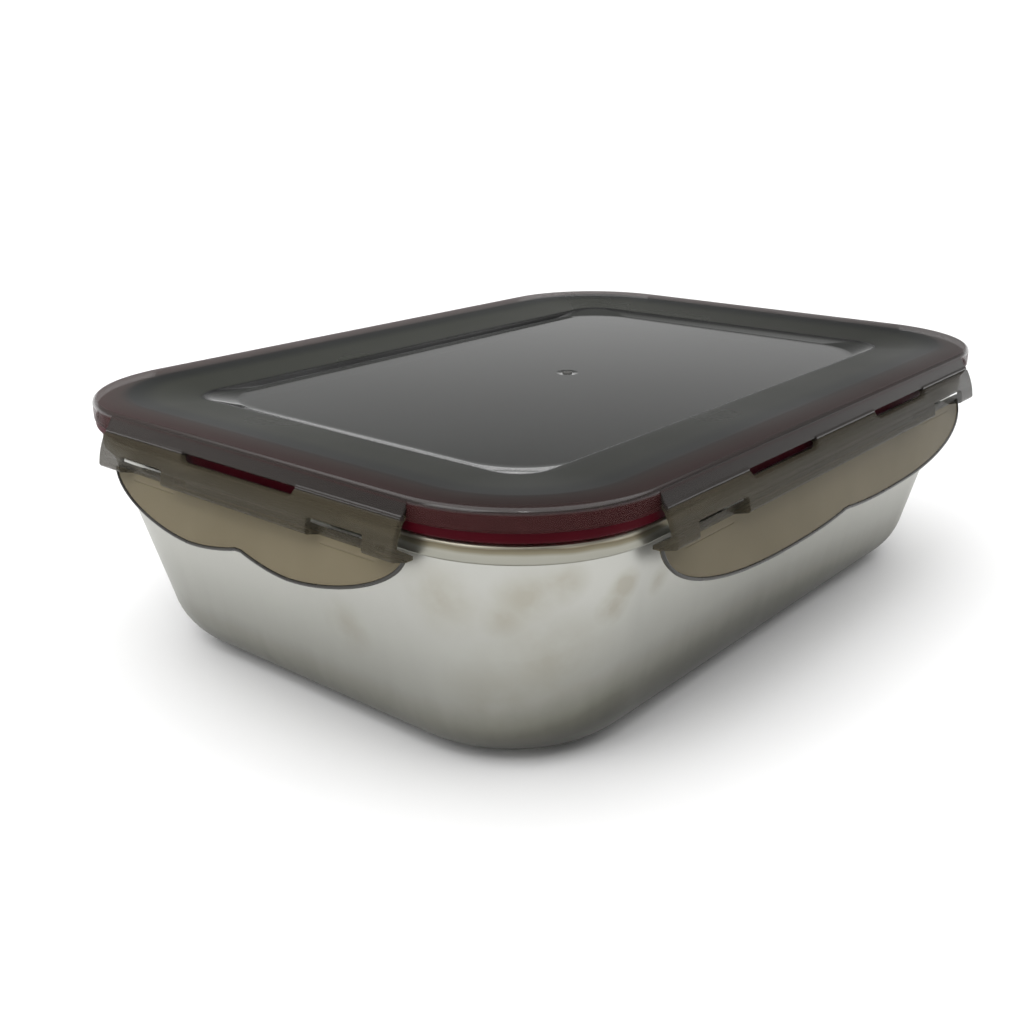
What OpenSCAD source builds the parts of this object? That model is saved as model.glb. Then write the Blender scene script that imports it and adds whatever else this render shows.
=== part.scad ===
// Rectangular steel lunch box: a drawn tub with a rolled rim, a plastic lid with a
// silicone seal, and four snap flaps on living hinges.
// +Z up, origin at the middle of the underside, long side along X, millimetres.

/* [Lid] */
// Length of the lid over its edge, flaps not counted
lid_l = 252; // [200:1:320]
// Width of the lid over its edge, flaps not counted
lid_w = 182; // [150:1:240]
// Height of the closed box, to the top of the lid
box_h = 73; // [55:1:120]
// Corner radius of the lid edge
lid_corner_r = 39; // [32:1:44]
// Thickness of the lid plate
lid_t = 1.8; // [1.4:0.1:2.2]
// Height of the lid's outer skirt
skirt_h = 5.3; // [4.6:0.1:6]
// Thickness of the lid's outer skirt
skirt_t = 1.4; // [1:0.1:1.8]
// Radius of the lid's top edge
edge_r = 1.3; // [0.6:0.1:1.6]
// Width of the raised border round the lid
border_w = 9; // [7.5:0.5:12]
// Drop from the raised border to the inner border
border_drop = 2; // [0.6:0.1:2.6]
// Distance from the lid edge to the edge of the middle recess
recess_in = 30; // [24:0.5:36]
// Depth of the middle recess below the inner border
recess_depth = 1.5; // [0.8:0.1:3]
// How far the recess wall runs in at the two ends
recess_end_run = 5; // [2:0.5:12]
// How far the recess wall runs in along the two long sides
recess_side_run = 1; // [1:0.5:6]
// Corner radius of the recess floor
recess_floor_r = 20; // [12:1:26]
// Diameter of the gate mark in the middle of the lid
gate_d = 3.2; // [1.5:0.1:4]

/* [Seal] */
// Width of the seal's channel, between the skirt and the plug wall
channel_w = 5.6; // [4.6:0.1:6.5]
// Thickness of the plug wall that reaches into the tub
plug_t = 2; // [1.4:0.1:2.6]
// Reach of the plug wall below the rim's top
plug_reach = 4; // [2:0.5:8]
// Width of the lip that shows below the skirt
lip_w = 2.4; // [1.8:0.1:3]
// Gap from the seal to the rim it closes on
seal_gap = 0.3; // [0.2:0.05:0.4]

/* [Tub] */
// Wall thickness of the tub
tub_t = 0.8; // [0.6:0.1:1]
// Distance from the lid's top down to the rim's top
rim_drop = 8.4; // [8:0.1:9.4]
// Height of the rolled rim
rim_h = 4.8; // [3:0.1:5.5]
// How far the lid edge stands out past the rim
lid_overhang = 1.7; // [1.4:0.1:2.4]
// Step from the rim's outer face in to the wall
rim_step = 1.6; // [1.4:0.1:3]
// Thickness of the metal roll at the rim
roll_t = 0.9; // [0.8:0.05:1]
// Draft of the tub wall, in degrees
draft = 11; // [6:0.5:15]
// Outer radius between the wall and the floor
foot_r = 19.5; // [12:0.5:22]
// Corner radius of the wall just above the foot radius
low_corner_r = 38.5; // [30:0.5:42]

/* [Flaps] */
// Length of the front and back flaps
long_flap_l = 174; // [112:1:240]
// Length of the left and right flaps
short_flap_l = 108; // [84:1:150]
// Thickness of a flap's panel
flap_t = 1.5; // [1.2:0.1:1.8]
// Radius that a flap's panel is curved to
panel_r = 20; // [14:1:60]
// How far a flap's lower edge stands out from the lid edge
flap_out = 5.1; // [4.6:0.1:7]
// Thickness of the shelf that reaches under the rim
shelf_t = 0.9; // [0.8:0.1:1.4]
// Height that the top of the shelf falls from the panel in to the rim
shelf_fall = 2.9; // [1:0.1:3.4]
// Height that the underside of the shelf falls from the panel in to the wing
foot_fall = 1; // [0:0.1:1.5]
// Thickness of the finger wing
wing_t = 1; // [0.8:0.1:1.4]
// Slant of the wing from upright, in degrees
wing_slant = 16; // [0:1:25]
// Depth of a long flap's wing below the shelf
long_wing_h = 14.3; // [10:0.1:22]
// Depth of a short flap's wing below the shelf
short_wing_h = 12.3; // [9:0.1:20]
// Depth of a long wing at the notch in its middle
long_notch_h = 12.9; // [8:0.1:14]
// Depth of a short wing at the notch in its middle
short_notch_h = 9.6; // [7:0.1:12]
// Fullness of a long wing's lobes; 2 is an ellipse
long_lobe = 2.4; // [1.5:0.1:3]
// Fullness of a short wing's lobes; 2 is an ellipse
short_lobe = 1.7; // [1.5:0.1:3]
// Length of each latch slot in a long flap
long_slot_l = 22; // [12:1:30]
// Length of each latch slot in a short flap
short_slot_l = 18; // [10:1:24]
// Height of a latch slot above the shelf
slot_h = 1.5; // [1:0.1:2.5]
// How far a latch slot is cut into the shelf behind the panel
slot_deep = 1.8; // [0:0.1:2.2]
// Distance from a flap's end to its latch slot
slot_end = 9; // [7:0.5:14]
// How far a latch lip reaches in under the rim
latch_reach = 1; // [0.6:0.1:1.2]

/* [Hinges] */
// Diameter of the bead that each living hinge turns on
bead_d = 1.2; // [1:0.1:1.4]
// Thickness of the web where it meets the bead
web_t = 0.5; // [0.4:0.05:0.6]
// Distance from the lid edge out to the hinge axis
hinge_out = 1.5; // [1.5:0.1:2.2]
// Distance from the lid's top down to the hinge axis
hinge_drop = 4.2; // [3.8:0.1:4.8]
// Length of each window between the hinges of a long flap
long_window_l = 34.5; // [20:0.5:40]
// Length of the hinge in the middle of a long flap
middle_hinge_l = 35; // [20:1:40]
// Length of the window in the middle of a short flap
short_window_l = 42; // [20:0.5:60]

/* [Clearances] */
// Running clearance in the hinge, on the radius
hinge_fit = 0.05; // [0.03:0.01:0.1]
// Gap between pieces that pass each other
pass_gap = 0.3; // [0.2:0.05:0.4]

/* [Hidden] */
$fn = 64;

steel = [0.72, 0.71, 0.67];
smoke = [0.36, 0.34, 0.31];
pale_smoke = [0.5, 0.46, 0.38];
crimson = [0.5, 0.07, 0.12];

// Outline of the rim, and the heights that the pieces share
rim_l = lid_l - 2 * lid_overhang;
rim_w = lid_w - 2 * lid_overhang;
rim_r = lid_corner_r - lid_overhang;
rim_top = box_h - rim_drop;
hem_z = rim_top - rim_h;
inner_top = box_h - border_drop;
recess_z = inner_top - recess_depth;
skirt_z = box_h - skirt_h;
plug_z = rim_top - plug_reach;
channel_out = -skirt_t;
channel_in = channel_out - channel_w;

// Shape of the tub
edge_steps = 6;
corner_steps = 12;
foot_steps = 9;
lobe_steps = 36;
cap_z = rim_top - roll_t;
foot_wall_z = foot_r * (1 - sin(draft));
foot_wall_in = rim_step + (hem_z - foot_wall_z) * tan(draft);
foot_centre_in = foot_wall_in + foot_r * cos(draft);

// Flap section: places are [distance out from the lid edge, height]
hinge_z = box_h - hinge_drop;
hinge = [hinge_out, hinge_z];
knuckle_wall = 0.5;
knuckle_r = bead_d / 2 + hinge_fit + knuckle_wall;
mouth_from = -25;
mouth_to = 150;
mouth_r = 3 * knuckle_r;
shelf_top = hem_z - pass_gap;
shelf_z = shelf_top - shelf_t;
wing_in = pass_gap - lid_overhang;
wing_set = 1;
wing_end = 1;
foot_round = 1;
window_below = 1;
window_z = hinge_z - knuckle_r - window_below;
window_r = 2;
slot_top = shelf_top + shelf_fall + slot_h;
slot_r = 0.7;
latch_gap = 0.1;
latch_bevel = 0.3;

// The panel is curved from its top to its foot, about this centre
panel_top = hinge + knuckle_r * [cos(mouth_from), sin(mouth_from)];
panel_foot = [flap_out, shelf_z + foot_fall + foot_round];
panel_way = panel_foot - panel_top;
panel_side = [panel_way[1], -panel_way[0]] / norm(panel_way);
panel_centre = (panel_top + panel_foot) / 2
    + panel_side * sqrt(pow(panel_r, 2) - pow(norm(panel_way) / 2, 2));

// Web: from the lid's top edge out to the bead
web_low = 2.4;
web_turn = 30;
web_way = 121;

// Lid: the border ends level, and the panel is let into it by a thinner edge
border_flat = 2;
panel_lap = 1.5;
panel_set = 0.2;
recess_top_r = lid_corner_r - recess_in;
roof_extra = 0.2;
seal_top = box_h - lid_t - roof_extra;
gate_h = 0.25;

// Rim: the hem turns in almost to the wall at its foot
hem_gap = 0.15;
hem_round = 0.6;
rim_bevel = 0.3;

// Seal: bevels where it meets the rim, and the lip that shows
seal_bevel = 0.8;
lip_in = 0.35;
lip_bevel = 0.6;
lip_rise = 1.5;

// Room to cut right through, and the least height of a hull's face
past = 1;
slack = 0.01;

// ---- shared shapes ----

// The rounded rectangle that everything follows
module plan(l, w, r) {
    hull() {
        for (sx = [-1, 1], sy = [-1, 1]) {
            translate([sx * (l / 2 - r), sy * (w / 2 - r)]) circle(r = r);
        }
    }
}

// Carries a section round a rounded rectangle: section x is out from the outline, y is up
module around(l, w, r, section) {
    for (corner = [0:3]) {
        sx = (corner == 0 || corner == 3) ? 1 : -1;
        sy = corner < 2 ? 1 : -1;
        translate([sx * (l / 2 - r), sy * (w / 2 - r), 0])
            rotate([0, 0, 90 * corner])
                rotate_extrude(angle = 90) translate([r, 0]) polygon(section);
    }
    for (turn = [0, 180]) {
        rotate([0, 0, turn]) along(w / 2, l - 2 * r) polygon(section);
        rotate([0, 0, turn + 90]) along(l / 2, w - 2 * r) polygon(section);
    }
}

// Lays a section along the side that faces +Y, at a distance from the middle
module along(distance, length) {
    translate([length / 2, distance, 0])
        rotate([90, 0, -90]) mirror([1, 0, 0]) linear_extrude(height = length) children();
}

// Points of a round edge in a section
function arc(centre, r, from, to, steps = 6) =
    [for (i = [0:steps]) let (a = from + (to - from) * i / steps)
        centre + r * [cos(a), sin(a)]];

// ---- tub ----

// One level of the tub as [inset from the rim's outline, height, corner radius],
// at a depth t inside the outer surface
function wall_level(z, t) =
    let (
        outer_in = rim_step + max(0, hem_z - z) * tan(draft),
        share = (foot_wall_in - outer_in) / (foot_wall_in - rim_step),
        outer_r = low_corner_r + (rim_r - rim_step - low_corner_r) * share
    )
    [outer_in + t / (z < hem_z ? cos(draft) : 1), z, outer_r - t];

function foot_level(a, t) =
    let (run_in = foot_centre_in - (foot_r - t) * cos(a))
    [run_in, foot_r - (foot_r - t) * sin(a), low_corner_r - (run_in - foot_wall_in)];

function skin_levels(t) = concat(
    [for (i = [0:foot_steps]) foot_level(90 - (90 - draft) * i / foot_steps, t)],
    [wall_level(hem_z, t), wall_level(cap_z, t)]
);

// The points of one level, counter-clockwise
function ring(level) =
    let (
        hx = rim_l / 2 - level[0],
        hy = rim_w / 2 - level[0],
        r = level[2]
    )
    [for (corner = [0:3], i = [0:corner_steps])
        let (
            a = 90 * corner + 90 * i / corner_steps,
            sx = (corner == 0 || corner == 3) ? 1 : -1,
            sy = corner < 2 ? 1 : -1
        )
        [sx * (hx - r) + r * cos(a), sy * (hy - r) + r * sin(a), level[1]]];

function reversed(list) = [for (i = [len(list) - 1:-1:0]) list[i]];

// Drawn steel shell: up the outside, over the edge and down the inside
module tub_shell() {
    levels = concat(skin_levels(0), reversed(skin_levels(tub_t)));
    n = 4 * (corner_steps + 1);
    last = (len(levels) - 1) * n;
    points = [for (level = levels) each ring(level)];
    sides = [for (k = [0:len(levels) - 2], i = [0:n - 1])
        let (j = (i + 1) % n)
        [k * n + i, (k + 1) * n + i, (k + 1) * n + j, k * n + j]];
    underside = [for (i = [0:n - 1]) i];
    floor_top = [for (i = [n - 1:-1:0]) last + i];
    color(steel) polyhedron(points, concat([underside], sides, [floor_top]), convexity = 6);
}

// Rolled rim: over the wall's top edge, down outside it and in again at the foot
module rolled_rim() {
    inner = -rim_step - tub_t;
    foot_in = hem_gap - rim_step;
    section = concat(
        [[-roll_t, cap_z], [-roll_t, hem_z + roll_t], [foot_in, hem_z + roll_t]],
        [[foot_in, hem_z]],
        arc([-hem_round, hem_z + hem_round], hem_round, -90, 0),
        arc([-roll_t, rim_top - roll_t], roll_t, 0, 90),
        [[inner + rim_bevel, rim_top], [inner, rim_top - rim_bevel], [inner, cap_z]]
    );
    color(steel) around(rim_l, rim_w, rim_r, section);
}

// ---- lid and seal ----

// Border, skirt and plug wall in one ring, and the recessed middle panel
module lid() {
    slope_out = -border_w;
    slope_in = border_flat - recess_in;
    under_z = inner_top - lid_t;
    under_out = box_h - lid_t;
    plug_in = channel_in - plug_t;
    border = concat(
        [[-recess_in, under_z], [slope_in, under_z], [plug_in, under_out], [plug_in, plug_z]],
        [[channel_in, plug_z], [channel_in, seal_top], [channel_out, seal_top]],
        [[channel_out, skirt_z], [0, skirt_z]],
        arc([-edge_r, box_h - edge_r], edge_r, 0, 90, edge_steps),
        [[slope_out, box_h], [slope_in, inner_top], [-recess_in, inner_top]]
    );
    color(smoke) {
        around(lid_l, lid_w, lid_corner_r, border);
        middle_panel();
    }
}

// A plate in the outline of the recess, inset by run_x at the ends and run_y at the sides
module recess_plate(z, h, run_x, run_y, r) {
    translate([0, 0, z]) linear_extrude(height = h)
        plan(lid_l - 2 * (recess_in + run_x), lid_w - 2 * (recess_in + run_y), r);
}

module middle_panel() {
    edge_t = lid_t - 2 * panel_set;
    edge_top = inner_top - panel_set;
    difference() {
        hull() {
            recess_plate(edge_top - edge_t, edge_t, -panel_lap, -panel_lap, recess_top_r + panel_lap);
            recess_plate(recess_z - lid_t, lid_t, recess_end_run, recess_side_run, recess_floor_r);
        }
        hull() {
            recess_plate(edge_top, past, panel_set, panel_set, recess_top_r);
            recess_plate(recess_z, slack, recess_end_run, recess_side_run, recess_floor_r);
        }
    }
    translate([0, 0, recess_z - gate_h]) cylinder(d = gate_d, h = 2 * gate_h);
}

// Silicone seal: fills the channel over the rim, with a lip that shows below the skirt
module seal() {
    foot = rim_top + seal_gap;
    section = [
        [channel_in, seal_top], [channel_in, foot + seal_bevel], [channel_in + seal_bevel, foot],
        [lip_bevel - lip_in - lip_w, foot], [-lip_in - seal_bevel, foot + lip_bevel],
        [-lip_in, foot + lip_rise], [-lip_in, skirt_z], [channel_out, skirt_z],
        [channel_out, seal_top]
    ];
    color(crimson) around(lid_l, lid_w, lid_corner_r, section);
}

// ---- flaps ----

// Wing tip heights follow two ovals that meet at the notch
function lobe_a(half, wing_h, notch_h, power) =
    half / (1 + pow(1 - pow(notch_h / wing_h, power), 1 / power));

module lobes(half, wing_h, notch_h, power) {
    a = lobe_a(half, wing_h, notch_h, power);
    for (side = [-1, 1]) {
        polygon([for (i = [0:lobe_steps])
            let (t = 180 * i / lobe_steps, across = pow(abs(cos(t)), 2 / power))
            [side * (half - a) - sign(cos(t)) * a * across,
             shelf_z + slack - wing_h * pow(sin(t), 2 / power)]]);
    }
}

// Distance out to the panel's inner face at a height
function panel_in(z) =
    panel_centre[0] + sqrt(pow(panel_r - flap_t, 2) - pow(z - panel_centre[1], 2));

// Angle of a place, seen from the centre that the panel is curved about
function panel_angle(place) = atan2(place[1] - panel_centre[1], place[0] - panel_centre[0]);

// The panel, shelf and wing as one section
module flap_section(wing_h) {
    run = wing_h * tan(wing_slant);
    wing_top = wing_in + wing_set;
    shelf_root = [panel_in(shelf_top + shelf_fall), shelf_top + shelf_fall];
    from = panel_angle(panel_top);
    polygon(concat(
        arc(panel_centre, panel_r, from, panel_angle(panel_foot)),
        arc([flap_out - foot_round, panel_foot[1]], foot_round, 0, -90),
        [[wing_top + wing_t, shelf_z], [wing_top + wing_t + run, shelf_z - wing_h]],
        [[wing_top + run, shelf_z - wing_h], [wing_top, shelf_z]],
        [[wing_in, shelf_z], [wing_in, shelf_top]],
        arc(panel_centre, panel_r - flap_t, panel_angle(shelf_root), from),
        [hinge]
    ));
}

// A flap that faces +Y, closed against the lid edge at the given distance
module flap(distance, length, wing, windows, slot_l) {
    window_h = box_h - window_z;
    slot_in = panel_in(slot_top) - slot_deep - slack;
    slot_low = shelf_z - 2 * past;
    difference() {
        union() {
            along(distance, length) flap_section(wing[0]);
            hinge_bar(distance, length, knuckle_r);
        }
        wing_trim(distance, length, wing);
        hinge_bar(distance, length + 2 * past, bead_d / 2 + hinge_fit);
        along(distance, length + 2 * past) hinge_mouth();
        for (x = windows) {
            opening(x[0], distance, window_z, x[1], window_h, window_r);
        }
        for (side = [-1, 1]) {
            opening(side * (length / 2 - slot_end - slot_l / 2), distance + slot_in, slot_low,
                    slot_l, slot_top - slot_low, slot_r);
        }
    }
}

// A cutter with rounded corners, from y outwards, about the middle x and up from z
module opening(x, y, z, length, height, r) {
    translate([x, y, z + height / 2]) rotate([90, 0, 0]) mirror([0, 0, 1])
        linear_extrude(height = flap_out + past) plan(length, height, r);
}

// Round bar along the hinge axis
module hinge_bar(distance, length, r) {
    translate([-length / 2, distance + hinge_out, hinge_z])
        rotate([0, 90, 0]) cylinder(r = r, h = length);
}

// Opening of the knuckle, wide enough for the web at every angle of the flap
module hinge_mouth() {
    polygon(concat([hinge], arc(hinge, mouth_r, mouth_from, mouth_to)));
}

// What is cut from a straight wing so that its free edge follows the lobes
module wing_trim(distance, length, wing) {
    wing_h = wing[0];
    depth = wing_h * tan(wing_slant) + wing_set + wing_t + 2 * past;
    translate([0, distance + wing_in - past, 0]) rotate([90, 0, 0]) mirror([0, 0, 1])
        linear_extrude(height = depth)
            difference() {
                translate([-length / 2 - past, shelf_z - wing_h - past])
                    square([length + 2 * past, wing_h + past]);
                lobes(length / 2 - wing_end, wing_h, wing[1], wing[2]);
            }
}

// Each flap's wing as [depth, depth at the notch, fullness]
module long_flap() {
    middle = (middle_hinge_l + long_window_l) / 2;
    windows = [[-middle, long_window_l], [middle, long_window_l]];
    wing = [long_wing_h, long_notch_h, long_lobe];
    color(pale_smoke) flap(lid_w / 2, long_flap_l, wing, windows, long_slot_l);
}

module short_flap() {
    windows = [[0, short_window_l]];
    wing = [short_wing_h, short_notch_h, short_lobe];
    color(pale_smoke) flap(lid_l / 2, short_flap_l, wing, windows, short_slot_l);
}

module front_flap() {
    rotate([0, 0, 180]) long_flap();
}

module back_flap() {
    long_flap();
}

module left_flap() {
    rotate([0, 0, 90]) short_flap();
}

module right_flap() {
    rotate([0, 0, -90]) short_flap();
}

// ---- living hinges ----

// Web along a whole flap, facing +Y: from the lid's edge down to the hinge axis
module web(distance, length) {
    half = web_t / 2 * [sin(web_way), -cos(web_way)];
    section = concat(
        [[0, box_h - web_low]],
        arc([-edge_r, box_h - edge_r], edge_r, 0, web_turn, edge_steps * web_turn / 90),
        [hinge + half, hinge - half]
    );
    along(distance, length) polygon(section);
}

// Bead of one length of hinge, facing +Y
module bead(distance, from, to) {
    translate([from, distance + hinge_out, hinge_z])
        rotate([0, 90, 0]) cylinder(d = bead_d, h = to - from);
}

module long_hinge() {
    inner = middle_hinge_l / 2;
    outer = inner + long_window_l;
    end = long_flap_l / 2;
    color(smoke) {
        web(lid_w / 2, long_flap_l);
        bead(lid_w / 2, -inner, inner);
        bead(lid_w / 2, outer, end);
        bead(lid_w / 2, -end, -outer);
    }
}

module short_hinge() {
    inner = short_window_l / 2;
    end = short_flap_l / 2;
    color(smoke) {
        web(lid_l / 2, short_flap_l);
        bead(lid_l / 2, inner, end);
        bead(lid_l / 2, -end, -inner);
    }
}

module front_hinge() {
    rotate([0, 0, 180]) long_hinge();
}

module back_hinge() {
    long_hinge();
}

module left_hinge() {
    rotate([0, 0, 90]) short_hinge();
}

module right_hinge() {
    rotate([0, 0, -90]) short_hinge();
}

// ---- latch lips ----

// The two lips on a flap's shelf that snap in under the rim, facing +Y
module latch_pair(distance, length, slot_l) {
    tip = wing_in - latch_reach;
    top = shelf_top - latch_gap;
    section = [
        [wing_in, shelf_z], [wing_in, top], [tip + latch_bevel, top], [tip, top - latch_bevel]
    ];
    for (side = [-1, 1]) {
        translate([side * (length / 2 - slot_end - slot_l / 2), 0, 0])
            along(distance, slot_l) polygon(section);
    }
}

module long_latches() {
    color(pale_smoke) latch_pair(lid_w / 2, long_flap_l, long_slot_l);
}

module short_latches() {
    color(pale_smoke) latch_pair(lid_l / 2, short_flap_l, short_slot_l);
}

module front_latches() {
    rotate([0, 0, 180]) long_latches();
}

module back_latches() {
    long_latches();
}

module left_latches() {
    rotate([0, 0, 90]) short_latches();
}

module right_latches() {
    rotate([0, 0, -90]) short_latches();
}

tub_shell();
rolled_rim();
lid();
seal();
front_flap();
back_flap();
left_flap();
right_flap();
front_hinge();
back_hinge();
left_hinge();
right_hinge();
front_latches();
back_latches();
left_latches();
right_latches();
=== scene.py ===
"""Rectangular steel lunch box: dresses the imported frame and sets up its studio."""

import math

import bmesh
import bpy
from mathutils import Matrix, Vector

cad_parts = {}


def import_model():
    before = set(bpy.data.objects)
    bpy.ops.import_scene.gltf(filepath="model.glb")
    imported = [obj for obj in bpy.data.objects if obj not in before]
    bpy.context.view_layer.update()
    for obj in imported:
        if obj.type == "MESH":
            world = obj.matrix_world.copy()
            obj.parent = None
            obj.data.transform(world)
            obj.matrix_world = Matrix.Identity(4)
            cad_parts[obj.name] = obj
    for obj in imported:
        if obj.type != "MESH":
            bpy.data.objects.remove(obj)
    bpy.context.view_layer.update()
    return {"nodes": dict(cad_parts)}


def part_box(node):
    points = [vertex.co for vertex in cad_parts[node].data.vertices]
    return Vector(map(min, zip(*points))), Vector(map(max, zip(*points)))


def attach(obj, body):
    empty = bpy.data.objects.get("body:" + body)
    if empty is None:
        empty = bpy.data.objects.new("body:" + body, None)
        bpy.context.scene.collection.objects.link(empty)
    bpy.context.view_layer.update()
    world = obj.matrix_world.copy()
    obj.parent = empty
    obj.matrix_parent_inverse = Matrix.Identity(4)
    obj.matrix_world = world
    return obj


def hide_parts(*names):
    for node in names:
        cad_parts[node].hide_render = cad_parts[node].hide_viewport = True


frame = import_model()

MM = 0.001
CORNER_STEPS = 28
SHARP_ABOVE = math.radians(40)
FLAPS = {"front": 180, "back": 0, "left": 90, "right": -90}


# ---- sizes: outlines and heights are the frame's, and the rest are the part's own ----

def half_size(node):
    """Half the length and half the width of a node that is centred on the box."""
    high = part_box(node)[1]
    return high.x, high.y


LID_X, LID_Y = half_size("lid")
RIM_X, RIM_Y = half_size("rolled_rim")
TUB_X, TUB_Y = half_size("tub_shell")
SEAL_X, SEAL_Y = half_size("seal")
LID_LOW, LID_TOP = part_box("lid")[0].z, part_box("lid")[1].z
RIM_LOW, RIM_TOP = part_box("rolled_rim")[0].z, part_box("rolled_rim")[1].z
TUB_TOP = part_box("tub_shell")[1].z
SEAL_LOW, SEAL_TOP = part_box("seal")[0].z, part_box("seal")[1].z

LID_R = 39 * MM
DRAFT = math.radians(11)
WALL = 0.8 * MM
FOOT_R = 19.5 * MM
LOW_CORNER_R = 38.5 * MM
RECESS_IN = 30 * MM
BORDER_Z = LID_TOP - 2 * MM
RECESS_Z = BORDER_Z - 1.5 * MM
PLATE = 1.8 * MM
SKIRT_LOW = LID_TOP - 5.3 * MM
WING_ROOT = 58.6 * MM


# ---- mesh helpers ----

def ring(half_x, half_y, r, z):
    """One level: a rounded rectangle, counter-clockwise."""
    points = []
    for k, (sx, sy) in enumerate(((1, 1), (-1, 1), (-1, -1), (1, -1))):
        for i in range(CORNER_STEPS + 1):
            a = math.radians(90 * (k + i / CORNER_STEPS))
            points.append((sx * (half_x - r) + r * math.cos(a), sy * (half_y - r) + r * math.sin(a), z))
    return points


def loft(name, levels, closed=False):
    """A skin over levels of (half x, half y, corner radius, z)."""
    return stack(name, [ring(*level) for level in levels], closed)


def stack(name, rings, closed=False):
    """A skin over rings of as many points each, capped at both ends unless closed."""
    n = len(rings[0])
    faces = []
    for k in range(len(rings) if closed else len(rings) - 1):
        a, b = k * n, (k + 1) % len(rings) * n
        faces += [(a + i, b + i, b + (i + 1) % n, a + (i + 1) % n) for i in range(n)]
    if not closed:
        faces += [tuple(range(n)), tuple(range(len(rings) * n - 1, (len(rings) - 1) * n - 1, -1))]
    return piece(name, [tuple(p) for level in rings for p in level], faces)


def piece(name, points, faces):
    """A smooth-shaded object, sharp where its faces meet steeply."""
    mesh = bpy.data.meshes.new(name)
    mesh.from_pydata(points, [], faces)
    work = bmesh.new()
    work.from_mesh(mesh)
    bmesh.ops.recalc_face_normals(work, faces=work.faces)
    work.to_mesh(mesh)
    work.free()
    for polygon in mesh.polygons:
        polygon.use_smooth = True
    mesh.set_sharp_from_angle(angle=SHARP_ABOVE)
    obj = bpy.data.objects.new(name, mesh)
    bpy.context.scene.collection.objects.link(obj)
    return obj


def section_levels(section, half_x, half_y, r):
    """Levels of a profile of (inset from the outline, z) carried round a rounded rectangle."""
    return [(half_x - inset, half_y - inset, max(r - inset, 0.5 * MM), z) for inset, z in section]


def arc(inset, z, r, start, end, steps):
    """Points of a round edge in a profile; angle 0 points outward, 90 up."""
    turns = [math.radians(start + (end - start) * k / steps) for k in range(steps + 1)]
    return [(inset - r * math.cos(a), z + r * math.sin(a)) for a in turns]


# ---- materials ----

def material(name):
    """A new material with its nodes and links."""
    m = bpy.data.materials.new(name)
    m.use_nodes = True
    return m, m.node_tree.nodes, m.node_tree.links


def set_shader(nodes, **values):
    """Sets sockets of the main shader; an underscore stands for a space."""
    shader = nodes["Principled BSDF"]
    for key, value in values.items():
        shader.inputs[key.replace("_", " ")].default_value = value
    return shader


def noise(nodes, links, coords, scale, detail=3.0, stretch=(1, 1, 1)):
    mapping = nodes.new("ShaderNodeMapping")
    mapping.inputs["Scale"].default_value = stretch
    links.new(coords, mapping.inputs["Vector"])
    tex = nodes.new("ShaderNodeTexNoise")
    tex.inputs["Scale"].default_value = scale
    tex.inputs["Detail"].default_value = detail
    links.new(mapping.outputs["Vector"], tex.inputs["Vector"])
    return tex.outputs["Fac"]


def ramp(nodes, links, value, *stops):
    node = nodes.new("ShaderNodeValToRGB")
    elements = node.color_ramp.elements
    while len(elements) < len(stops):
        elements.new(0.5)
    for element, (place, colour) in zip(elements, stops):
        element.position = place
        element.color = (*colour, 1) if len(colour) == 3 else colour
    links.new(value, node.inputs["Fac"])
    return node.outputs["Color"]


def spread(nodes, links, value, low, high, to_low, to_high):
    """Maps low..high to to_low..to_high, and no further."""
    node = nodes.new("ShaderNodeMapRange")
    for key, v in (("From Min", low), ("From Max", high), ("To Min", to_low), ("To Max", to_high)):
        node.inputs[key].default_value = v
    links.new(value, node.inputs["Value"])
    return node.outputs["Result"]


def maths(nodes, links, operation, a, b):
    node = nodes.new("ShaderNodeMath")
    node.operation = operation
    for socket, v in zip(node.inputs, (a, b)):
        if isinstance(v, (int, float)):
            socket.default_value = v
        else:
            links.new(v, socket)
    return node.outputs[0]


def mix(nodes, links, factor, a, b):
    node = nodes.new("ShaderNodeMix")
    node.data_type = "RGBA"
    for key, v in (("A", a), ("B", b)):
        socket = next(s for s in node.inputs if s.name == key and s.type == "RGBA")
        if isinstance(v, tuple):
            socket.default_value = (*v, 1)
        else:
            links.new(v, socket)
    links.new(factor, node.inputs["Factor"])
    return next(s for s in node.outputs if s.type == "RGBA")


def multiply(nodes, links, a, b):
    """One colour dimmed by another."""
    node = nodes.new("ShaderNodeVectorMath")
    node.operation = "MULTIPLY"
    links.new(a, node.inputs[0])
    links.new(b, node.inputs[1])
    return node.outputs["Vector"]


def bump(nodes, links, height, distance, shader, strength):
    node = nodes.new("ShaderNodeBump")
    node.inputs["Distance"].default_value = distance
    node.inputs["Strength"].default_value = strength
    links.new(height, node.inputs["Height"])
    links.new(node.outputs["Normal"], shader.inputs["Normal"])


def object_place(nodes, links):
    """The object's coordinates, whole and by axis."""
    coords = nodes.new("ShaderNodeTexCoord").outputs["Object"]
    split = nodes.new("ShaderNodeSeparateXYZ")
    links.new(coords, split.inputs["Vector"])
    return coords, split.outputs


def near(nodes, links, coords, centre, radius):
    """1 at a place and 0 beyond a radius from it."""
    gap = nodes.new("ShaderNodeVectorMath")
    gap.operation = "DISTANCE"
    gap.inputs[1].default_value = centre
    links.new(coords, gap.inputs[0])
    return spread(nodes, links, gap.outputs["Value"], 0, radius, 1, 0)


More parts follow.
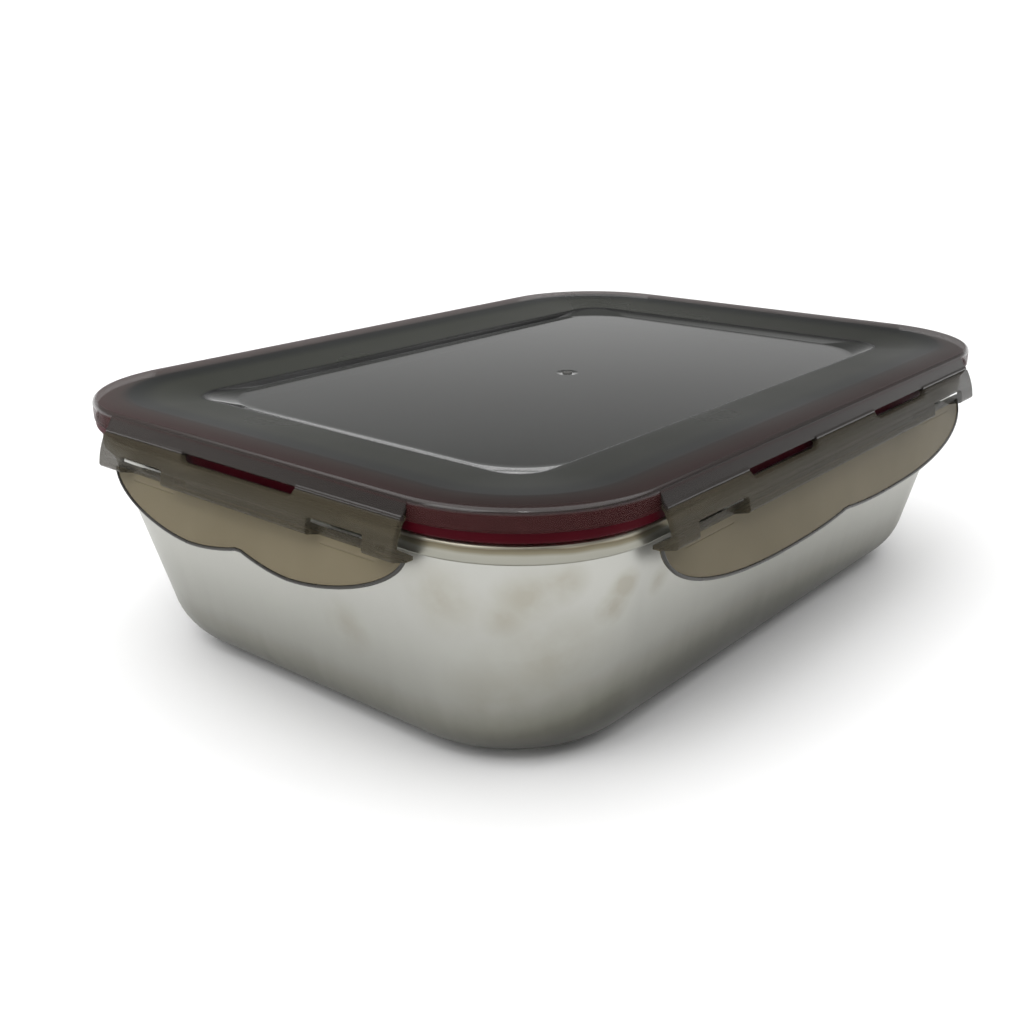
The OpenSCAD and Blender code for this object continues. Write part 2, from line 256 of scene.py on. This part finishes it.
def edge_inset(nodes, links, place):
    """How far in from the lid's outline a place lies."""
    def over(axis, half):
        size = maths(nodes, links, "ABSOLUTE", place[axis], 0)
        return maths(nodes, links, "SUBTRACT", size, half - LID_R)

    dx, dy = over("X", LID_X), over("Y", LID_Y)
    squares = [maths(nodes, links, "POWER", maths(nodes, links, "MAXIMUM", v, 0), 2) for v in (dx, dy)]
    out = maths(nodes, links, "SQRT", maths(nodes, links, "ADD", *squares), 0)
    inner = maths(nodes, links, "MINIMUM", maths(nodes, links, "MAXIMUM", dx, dy), 0)
    return maths(nodes, links, "SUBTRACT", LID_R, maths(nodes, links, "ADD", out, inner))


def shades(nodes, links, value, high, *stops):
    """A colour ramp over a length from 0 to high; high and the stops' places are in mm."""
    return ramp(nodes, links, spread(nodes, links, value, 0, high * MM, 0, 1),
                *((place / high, colour) for place, colour in stops))


def grey(v):
    return (v, v, v)


# Soft brown marks on the steel: (place in mm, radius in mm, strength)
SMUDGES = (
    ((-119, -57, 49), 13, 0.45), ((-111, -74, 51), 10, 0.6), ((-106, -79, 54), 8, 0.6),
    ((-114, -70, 45), 8, 0.55), ((-91, -85, 50), 6, 0.85), ((-93, -84, 45), 6, 0.9),
    ((-77, -86, 47), 5, 0.6), ((-118, -24, 32), 10, 0.4), ((-104, -75, 33), 20, 0.35),
    ((-112, -66, 22), 18, 0.3),
)


def smudges(nodes, links, coords):
    """Faint handling marks with ragged edges."""
    ragged = noise(nodes, links, coords, 130, 3)
    total = None
    for place, radius, strength in SMUDGES:
        spot = near(nodes, links, coords, [v * MM for v in place], radius * MM)
        spot = maths(nodes, links, "MULTIPLY", spot, strength)
        total = spot if total is None else maths(nodes, links, "MAXIMUM", total, spot)
    broken = maths(nodes, links, "MULTIPLY", total, spread(nodes, links, ragged, 0.3, 0.6, 0.6, 1.9))
    return spread(nodes, links, broken, 0.05, 0.9, 0, 1)


def steel_satin():
    """Drawn stainless steel: satin, cloudy and handled, with painted shade that darkens it towards the
    foot.
    """
    m, nodes, links = material("steel_satin")
    shader = set_shader(nodes, Metallic=1.0)
    coords, place = object_place(nodes, links)
    cloud = noise(nodes, links, coords, 22, 4)
    streaks = noise(nodes, links, coords, 190, 2, (1, 1, 0.05))
    marks = smudges(nodes, links, coords)
    steel = ramp(nodes, links, cloud, (0.3, (0.415, 0.415, 0.388)), (0.7, (0.445, 0.445, 0.416)))
    steel = mix(nodes, links, maths(nodes, links, "MULTIPLY", marks, 0.55), steel, (0.310, 0.290, 0.225))
    # painted shade: the foot is painted darker, and this reaches higher along the long sides and never onto
    # the flat floor
    x = place["X"]
    rise = spread(nodes, links, x, -108 * MM, -85 * MM, 0, 10 * MM)
    rise = maths(nodes, links, "SUBTRACT", rise, spread(nodes, links, x, -20 * MM, 70 * MM, 0, 8 * MM))
    height = maths(nodes, links, "SUBTRACT", place["Z"], rise)
    flat = spread(nodes, links, edge_inset(nodes, links, place), 27 * MM, 32 * MM, 0, 50 * MM)
    height = maths(nodes, links, "MAXIMUM", height, flat)
    waver = spread(nodes, links, streaks, 0.3, 0.7, -0.6 * MM, 0.6 * MM)
    height = maths(nodes, links, "ADD", height, waver)
    # painted shade by height, warmer and darker towards the foot
    painted_shade = shades(nodes, links, height, 48, (2, (0.19, 0.188, 0.17)), (8, (0.3, 0.297, 0.265)),
                   (12, (0.46, 0.457, 0.42)), (16, (0.57, 0.568, 0.54)), (20, (0.69, 0.69, 0.67)),
                   (26, (0.78, 0.78, 0.765)), (34, (0.9, 0.9, 0.89)), (45, (1, 1, 1)))
    links.new(multiply(nodes, links, steel, painted_shade), shader.inputs["Base Color"])
    grain = noise(nodes, links, coords, 1900, 2)
    rough = spread(nodes, links, cloud, 0.25, 0.75, 0.34, 0.44)
    links.new(maths(nodes, links, "ADD", rough, spread(nodes, links, marks, 0, 1, 0, 0.08)),
              shader.inputs["Roughness"])
    bump(nodes, links, grain, 0.02 * MM, shader, 0.4)
    return m


def steel_bright():
    """The rolled rim: a painted highlight on the crown, a painted dark reflection under it and a paler band
    below.
    """
    m, nodes, links = material("steel_bright")
    shader = set_shader(nodes, Metallic=1.0)
    coords, place = object_place(nodes, links)
    lines = noise(nodes, links, coords, 900, 2, (0.1, 0.1, 1))
    cloud = noise(nodes, links, coords, 45, 3)
    waver = spread(nodes, links, cloud, 0.3, 0.7, -0.3 * MM, 0.3 * MM)
    height = maths(nodes, links, "SUBTRACT", maths(nodes, links, "ADD", place["Z"], waver), RIM_LOW)
    # painted highlight on the crown and painted dark reflection under it, by height
    painted_rim_reflections = shades(nodes, links, height, 5, (0, (0.21, 0.205, 0.17)), (0.6, (0.28, 0.277, 0.24)),
                  (2.1, (0.295, 0.291, 0.25)), (2.8, (0.19, 0.175, 0.125)), (3.6, (0.13, 0.11, 0.075)),
                  (4.2, (0.4, 0.38, 0.31)), (4.8, (0.62, 0.6, 0.52)))
    links.new(painted_rim_reflections, shader.inputs["Base Color"])
    links.new(spread(nodes, links, lines, 0.3, 0.7, 0.3, 0.4), shader.inputs["Roughness"])
    bump(nodes, links, lines, 0.01 * MM, shader, 0.3)
    return m


def lid_plastic():
    """Smoky see-through plastic: satin border and a glossy middle, with the seal and plug wall below
    painted in as a red tint and a dark band, painted shade on the recess wall and painted light towards the
    back.
    """
    m, nodes, links = material("lid_plastic")
    shader = set_shader(nodes, IOR=1.5)
    coords, place = object_place(nodes, links)
    cloud = noise(nodes, links, coords, 14, 3)
    edge = edge_inset(nodes, links, place)
    waver = spread(nodes, links, cloud, 0.3, 0.7, -0.6 * MM, 0.6 * MM)
    inset = maths(nodes, links, "ADD", edge, waver)
    # painted: the seal below as a red tint, the plug wall's shade as a dark band, and painted shade on the
    # recess wall
    top = shades(nodes, links, inset, 40, (0, (0.030, 0.026, 0.024)), (1.5, (0.032, 0.019, 0.018)),
                 (7.5, (0.026, 0.018, 0.016)), (10.5, (0.009, 0.010, 0.010)), (13.5, (0.010, 0.011, 0.010)),
                 (17.5, (0.019, 0.020, 0.016)), (28.5, (0.019, 0.020, 0.016)), (29.8, grey(0.006)),
                 (30.8, grey(0.006)), (31.6, (0.018, 0.019, 0.017)))
    # painted light: the border is painted paler towards the back, where it reflects more light
    across = spread(nodes, links, place["Y"], -LID_Y, LID_Y, 0, 1)
    painted_back_light = ramp(nodes, links, across, (0.1, grey(0.84)), (0.9, grey(1.45)))
    top = multiply(nodes, links, top, painted_back_light)
    # the skirt is the outer face below the crease, painted dark red for the seal seen through it; the hinge
    # webs lie beyond the outline
    outside = spread(nodes, links, edge, 0.8 * MM, 1.4 * MM, 1, 0)
    web = spread(nodes, links, edge, -0.2 * MM, -0.1 * MM, 1, 0)
    low = spread(nodes, links, place["Z"], LID_TOP - 1.6 * MM, LID_TOP - 0.8 * MM, 1, 0)
    skirt = maths(nodes, links, "MULTIPLY", low, maths(nodes, links, "SUBTRACT", outside, web))
    colour = mix(nodes, links, skirt, top, (0.052, 0.017, 0.017))
    links.new(colour, shader.inputs["Base Color"])
    middle = spread(nodes, links, inset, 29.5 * MM, 31.5 * MM, 0, 1)
    crease = spread(nodes, links, edge, 0.7 * MM, 1.2 * MM, 1, 0)
    crease = maths(nodes, links, "MULTIPLY", crease, maths(nodes, links, "SUBTRACT", 1, skirt))
    polished = maths(nodes, links, "MAXIMUM", middle, crease)
    links.new(spread(nodes, links, polished, 0, 1, 0.035, 0.5), shader.inputs["Specular IOR Level"])
    links.new(spread(nodes, links, skirt, 0, 1, 0.85, 0.62), shader.inputs["Alpha"])
    satin = spread(nodes, links, cloud, 0.3, 0.7, 0.26, 0.34)
    gloss = maths(nodes, links, "MULTIPLY", polished, -0.2)
    links.new(maths(nodes, links, "ADD", satin, gloss), shader.inputs["Roughness"])
    dimple = near(nodes, links, coords, (0, 0, RECESS_Z), 3.5 * MM)
    bump(nodes, links, dimple, -0.4 * MM, shader, 0.8)
    return m


def flap_plastic():
    """The lid's plastic: dark over the thick panel, paler in the thin wing, with painted shade making the
    panel darker to the right and painted light on the wing's left end.
    """
    m, nodes, links = material("flap_plastic")
    shader = set_shader(nodes, IOR=1.5, Specular_IOR_Level=0.1)
    coords, place = object_place(nodes, links)
    cloud = noise(nodes, links, coords, 35, 3)
    wing = ramp(nodes, links, cloud, (0.3, (0.112, 0.094, 0.058)), (0.7, (0.132, 0.112, 0.072)))
    panel = ramp(nodes, links, cloud, (0.3, (0.038, 0.032, 0.021)), (0.7, (0.048, 0.041, 0.027)))
    # painted shade along the flap: the panel darkens towards +X, and the wing is painted lighter at its -X
    # end
    along = spread(nodes, links, place["X"], -LID_X, LID_X, 0, 1)
    panel_painted_shade = ramp(nodes, links, along, (0.15, grey(1.15)), (0.9, grey(0.42)))
    wing_painted_light = ramp(nodes, links, along, (0.01, grey(1.22)), (0.12, grey(1)))
    panel = multiply(nodes, links, panel, panel_painted_shade)
    wing = multiply(nodes, links, wing, wing_painted_light)
    upper = spread(nodes, links, place["Z"], WING_ROOT - 0.2 * MM, WING_ROOT + 0.4 * MM, 0, 1)
    links.new(mix(nodes, links, upper, wing, panel), shader.inputs["Base Color"])
    links.new(spread(nodes, links, upper, 0, 1, 0.9, 0.7), shader.inputs["Alpha"])
    links.new(spread(nodes, links, cloud, 0.3, 0.7, 0.2, 0.27), shader.inputs["Roughness"])
    return m


def edge_plastic():
    """The flap's free edges, seen through their own depth."""
    m, nodes, links = material("edge_plastic")
    shader = set_shader(nodes, IOR=1.5)
    coords, _ = object_place(nodes, links)
    cloud = noise(nodes, links, coords, 120, 2)
    links.new(ramp(nodes, links, cloud, (0.3, (0.012, 0.011, 0.009)), (0.7, (0.020, 0.018, 0.014))),
              shader.inputs["Base Color"])
    links.new(spread(nodes, links, cloud, 0.3, 0.7, 0.22, 0.35), shader.inputs["Roughness"])
    return m


def silicone():
    """Crimson silicone with a soft sheen."""
    m, nodes, links = material("silicone")
    shader = set_shader(nodes, IOR=1.42, Specular_IOR_Level=0.05)
    coords, _ = object_place(nodes, links)
    cloud = noise(nodes, links, coords, 45, 3)
    links.new(ramp(nodes, links, cloud, (0.3, (0.034, 0.0010, 0.0035)), (0.7, (0.046, 0.0015, 0.0050))),
              shader.inputs["Base Color"])
    grain = noise(nodes, links, coords, 1200, 2)
    links.new(spread(nodes, links, grain, 0.3, 0.7, 0.38, 0.48), shader.inputs["Roughness"])
    bump(nodes, links, grain, 0.01 * MM, shader, 0.2)
    return m


def dress(node, skin):
    """Gives a CAD node a material in every slot."""
    for s in frame["nodes"][node].material_slots:
        s.material = skin


def finish_piece(obj, skin, body, slot, *nodes):
    """Dresses a piece, ties it to its body, and lets it stand for the CAD nodes named; the slot is not
    used.
    """
    obj.data.materials.append(skin)
    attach(obj, body)
    if nodes:
        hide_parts(*nodes)
    return obj


# ---- tub ----

def tub(skin):
    """Drawn shell: drafted wall, wide round foot and a thin flat floor."""
    rim_r = LID_R - (LID_X - TUB_X)
    foot_wall_z = FOOT_R * (1 - math.sin(DRAFT))
    foot_wall_in = (RIM_LOW - foot_wall_z) * math.tan(DRAFT)
    centre_in = foot_wall_in + FOOT_R * math.cos(DRAFT)

    def skin_levels(t):
        """Levels from the floor up, for the outside (0) or the inside (the wall's thickness)."""
        levels = []
        steps = 20
        for k in range(steps + 1):
            a = math.radians(90) - (math.radians(90) - DRAFT) * k / steps
            inset = centre_in - (FOOT_R - t) * math.cos(a)
            z = FOOT_R - (FOOT_R - t) * math.sin(a)
            levels.append((TUB_X - inset, TUB_Y - inset, LOW_CORNER_R - (inset - foot_wall_in), z))
        for z in (30 * MM, 45 * MM, RIM_LOW):
            inset = (RIM_LOW - z) * math.tan(DRAFT)
            share = (foot_wall_in - inset) / foot_wall_in
            r = LOW_CORNER_R + (rim_r - LOW_CORNER_R) * share - t
            inset += t / math.cos(DRAFT)
            levels.append((TUB_X - inset, TUB_Y - inset, r, z))
        levels.append((TUB_X - t, TUB_Y - t, rim_r - t, TUB_TOP))
        return levels

    shell = loft("tub_steel", skin_levels(0) + skin_levels(WALL)[::-1])
    return finish_piece(shell, skin, "tub", "steel", "tub_shell")


def rim(skin):
    """Rolled rim over the wall's top edge, with round edges."""
    roll, step, inner = 0.9 * MM, 1.45 * MM, 2.4 * MM
    crown_r, hem_r, inner_r = 1.25 * MM, 0.8 * MM, 0.4 * MM
    section = (
        arc(crown_r, RIM_TOP - crown_r, crown_r, 90, 0, 10)
        + arc(hem_r, RIM_LOW + hem_r, hem_r, 0, -90, 6)
        + [(step, RIM_LOW), (step, RIM_LOW + roll), (roll, RIM_LOW + roll), (roll, RIM_TOP - roll),
           (inner, RIM_TOP - roll)]
        + arc(inner - inner_r, RIM_TOP - inner_r, inner_r, 180, 90, 4)
    )
    r = LID_R - (LID_X - RIM_X)
    obj = loft("rim_steel", section_levels(section, RIM_X, RIM_Y, r), closed=True)
    return finish_piece(obj, skin, "tub", "steel", "rolled_rim")


# ---- lid ----

def lid(skin):
    """Border, skirt and plug wall round the recessed middle, in one skin."""
    x, y = LID_X - RECESS_IN, LID_Y - RECESS_IN
    top_r, floor_r = LID_R - RECESS_IN, 20 * MM
    end_run, side_run = 5 * MM, 1 * MM
    edge_r, lip_r, chamfer = 1.3 * MM, 0.2 * MM, 0.3 * MM
    skirt_in, plug_out, plug_in = 1.4 * MM, 7 * MM, 9 * MM
    slope_from, slope_to = 8.6 * MM, 28 * MM
    rise = BORDER_Z - RECESS_Z

    def wall(share, climb):
        """A level of the recess's wall; its run and its climb go from 0 at the floor to 1 at the border."""
        return (x - end_run * (1 - share), y - side_run * (1 - share),
                floor_r + (top_r - floor_r) * share, RECESS_Z + climb * rise)

    # the first two rings are level, which keeps the floor's shading flat
    climbs = ((-0.3, 0), (-0.06, 0), (0, 0.03), (0.06, 0.1), (0.5, 0.52), (0.94, 0.93))
    recess = [wall(share, climb) for share, climb in climbs]
    border = (
        [(RECESS_IN - 0.4 * MM, BORDER_Z), (slope_to, BORDER_Z)]
        + [(slope_from + 1 * MM, LID_TOP - 0.06 * MM), (slope_from, LID_TOP)]
        + arc(edge_r, LID_TOP - edge_r, edge_r, 90, 0, 8)
        + arc(lip_r, SKIRT_LOW + lip_r, lip_r, 0, -90, 3)
        + [(skirt_in, SKIRT_LOW), (skirt_in, SEAL_TOP), (plug_out, SEAL_TOP), (plug_out, LID_LOW + chamfer)]
        + [(plug_out + chamfer, LID_LOW), (plug_in - chamfer, LID_LOW), (plug_in, LID_LOW + chamfer)]
        + [(plug_in, LID_TOP - PLATE), (slope_to, BORDER_Z - PLATE), (RECESS_IN, BORDER_Z - PLATE)]
    )
    under = [(*wall(0, 0)[:3], RECESS_Z - PLATE)]
    obj = loft("lid_cover", recess + section_levels(border, LID_X, LID_Y, LID_R) + under)
    return finish_piece(obj, skin, "lid", "lid_plastic", "lid")


def gate_mark(skin):
    """The little round mark that the mould's gate leaves in the middle."""
    profile = [(1.6, 0), (1.5, 0.12), (1.2, 0.24), (0.8, 0.22), (0.6, 0.1), (0.4, 0.05)]
    steps = 24
    turns = [2 * math.pi * k / steps for k in range(steps)]
    rings = [[(r * MM * math.cos(a), r * MM * math.sin(a), RECESS_Z + h * MM) for a in turns]
             for r, h in profile]
    return finish_piece(stack("gate_mark", rings), skin, "lid", "lid_plastic")


def seal(skin):
    """Silicone ring in the lid's channel, with a rounded lip below the skirt."""
    low, top = SEAL_LOW, SEAL_TOP - 0.06 * MM
    inner, out, bevel, lip_r = 6.58 * MM, 1.1 * MM, 0.8 * MM, 1.1 * MM
    section = (
        arc(lip_r, low + lip_r + 0.2 * MM, lip_r, 0, -80, 7)
        + [(2.6 * MM, low), (inner - bevel, low), (inner, low + bevel), (inner, top), (out, top)]
        + [(out, SKIRT_LOW), (0, SKIRT_LOW)]
    )
    r = LID_R - (LID_X - SEAL_X)
    obj = loft("seal_ring", section_levels(section, SEAL_X, SEAL_Y, r), closed=True)
    return finish_piece(obj, skin, "lid", "seal_silicone", "seal")


# ---- flaps ----

WING_SLANT = math.radians(16)
WING_OUT = 0.6 * MM
WING_END = 1 * MM
EDGE_R = 0.48 * MM
EDGE_IN = 0.2 * MM
MOULD_R = 0.25 * MM


def soft_edges(node, width):
    """Rounds the edges of a CAD node a little, as its mould does."""
    bevel = frame["nodes"][node].modifiers.new("round_edges", "BEVEL")
    bevel.width = width
    bevel.segments = 2
    bevel.limit_method = "ANGLE"
    bevel.angle_limit = math.radians(35)
    bevel.harden_normals = True


def flap_edge(name, turn, skin):
    """The dark line along a wing's free edge: the underside of two lobes that meet in a notch."""
    low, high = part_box(name + "_flap")
    long_side = name in ("front", "back")
    half = max(high.x - low.x, high.y - low.y) / 2 - WING_END
    notch, power = (12.9 * MM, 2.4) if long_side else (9.6 * MM, 1.7)
    depth = WING_ROOT - low.z
    lobe = half / (1 + (1 - (notch / depth) ** power) ** (1 / power))
    out = (LID_Y if long_side else LID_X) + WING_OUT - EDGE_IN
    steps = 48
    path = []
    for side in (-1, 1):
        for k in range(steps + 1):
            t = math.pi * k / steps
            across = -math.copysign(abs(math.cos(t)) ** (2 / power), math.cos(t))
            x = side * (half - lobe) + lobe * across
            drop = depth * math.sin(t) ** (2 / power)
            if x * side >= 0:
                path.append((x, out + drop * math.tan(WING_SLANT), WING_ROOT - drop + EDGE_IN))
    path.sort(key=lambda p: p[0])
    spin = Matrix.Rotation(math.radians(turn), 3, "Z")
    return tube(name + "_flap_edge", [spin @ Vector(p) for p in path], EDGE_R, skin, name + "_flap")


def tube(name, path, radius, skin, body):
    """A thin round bead along a path."""
    sides = 8
    rings = []
    for k, p in enumerate(path):
        along = (path[min(k + 1, len(path) - 1)] - path[max(k - 1, 0)]).normalized()
        side = along.cross(Vector((0, 0, 1))).normalized()
        up = side.cross(along).normalized()
        rings.append([p + radius * (math.cos(a) * side + math.sin(a) * up)
                      for a in (2 * math.pi * i / sides for i in range(sides))])
    return finish_piece(stack(name, rings), skin, body, "flap_plastic")


# ---- studio ----

def floor():
    """A plain pale floor, just below the tub."""
    size = 12.0
    obj = piece("studio_floor", [(-size, -size, 0), (size, -size, 0), (size, size, 0), (-size, size, 0)],
                [(0, 1, 2, 3)])
    obj.location.z = -0.3 * MM
    m, nodes, links = material("studio_floor")
    shader = set_shader(nodes, Roughness=0.9)
    coords, _ = object_place(nodes, links)
    cloud = noise(nodes, links, coords, 3, 2)
    links.new(ramp(nodes, links, cloud, (0.3, grey(0.86)), (0.7, grey(0.88))), shader.inputs["Base Color"])
    obj.data.materials.append(m)


def world():
    """A dome by height: bright near the horizon and overhead, dim between, as the lid reflects it."""
    w = bpy.data.worlds.new("studio")
    bpy.context.scene.world = w
    w.use_nodes = True
    nodes, links = w.node_tree.nodes, w.node_tree.links
    split = nodes.new("ShaderNodeSeparateXYZ")
    links.new(nodes.new("ShaderNodeTexCoord").outputs["Generated"], split.inputs["Vector"])
    levels = ((0.0, 0.72), (0.09, 0.72), (0.13, 0.42), (0.17, 0.39), (0.22, 0.27), (0.3, 0.145),
              (0.4, 0.09), (0.56, 0.12), (0.72, 1))
    sky = ramp(nodes, links, split.outputs["Z"], *((z, grey(v)) for z, v in levels))
    links.new(sky, nodes["Background"].inputs["Color"])
    nodes["Background"].inputs["Strength"].default_value = 2.0


def soft_light(name, place, aim, size, power):
    """A rectangular light in metres and watts."""
    data = bpy.data.lights.new(name, "AREA")
    data.shape = "RECTANGLE"
    data.size, data.size_y = size
    data.energy = power
    obj = bpy.data.objects.new(name, data)
    obj.location = place
    obj.rotation_mode = "QUATERNION"
    obj.rotation_quaternion = (Vector(aim) - Vector(place)).to_track_quat("-Z", "Y")
    bpy.context.scene.collection.objects.link(obj)


def camera():
    """At the photograph's place: columns are the view's right, up and back."""
    data = bpy.data.cameras.new("camera")
    data.sensor_width = 36
    data.lens = 41.749
    data.clip_start, data.clip_end = 0.01, 60
    obj = bpy.data.objects.new("camera", data)
    right = Vector((0.63864, -0.7695, -0.00173))
    up = Vector((0.25855, 0.21246, 0.94234))
    back = Vector((-0.72477, -0.60227, 0.33465))
    turn = Matrix((right, up, back)).transposed().to_4x4()
    obj.matrix_world = Matrix.Translation((-0.29152, -0.22053, 0.15234)) @ turn
    bpy.context.scene.collection.objects.link(obj)
    bpy.context.scene.camera = obj


def build():
    camera()
    floor()
    world()
    soft_light("key", (-1.2, 0.1, 1.0), (0, 0, 0.03), (1.0, 1.0), 7)
    soft_light("spark", (-1.0, -0.9, 1.5), (-0.1, -0.07, 0.07), (0.22, 0.22), 2.5)
    satin, bright = steel_satin(), steel_bright()
    smoke, flap, edge, crimson = lid_plastic(), flap_plastic(), edge_plastic(), silicone()
    tub(satin)
    rim(bright)
    lid(smoke)
    gate_mark(edge)
    seal(crimson)
    for name, turn in FLAPS.items():
        dress(name + "_flap", flap)
        dress(name + "_hinge", smoke)
        dress(name + "_latches", edge)
        soft_edges(name + "_flap", MOULD_R)
        flap_edge(name, turn, edge)
    bpy.context.scene.view_settings.view_transform = "Standard"


build()
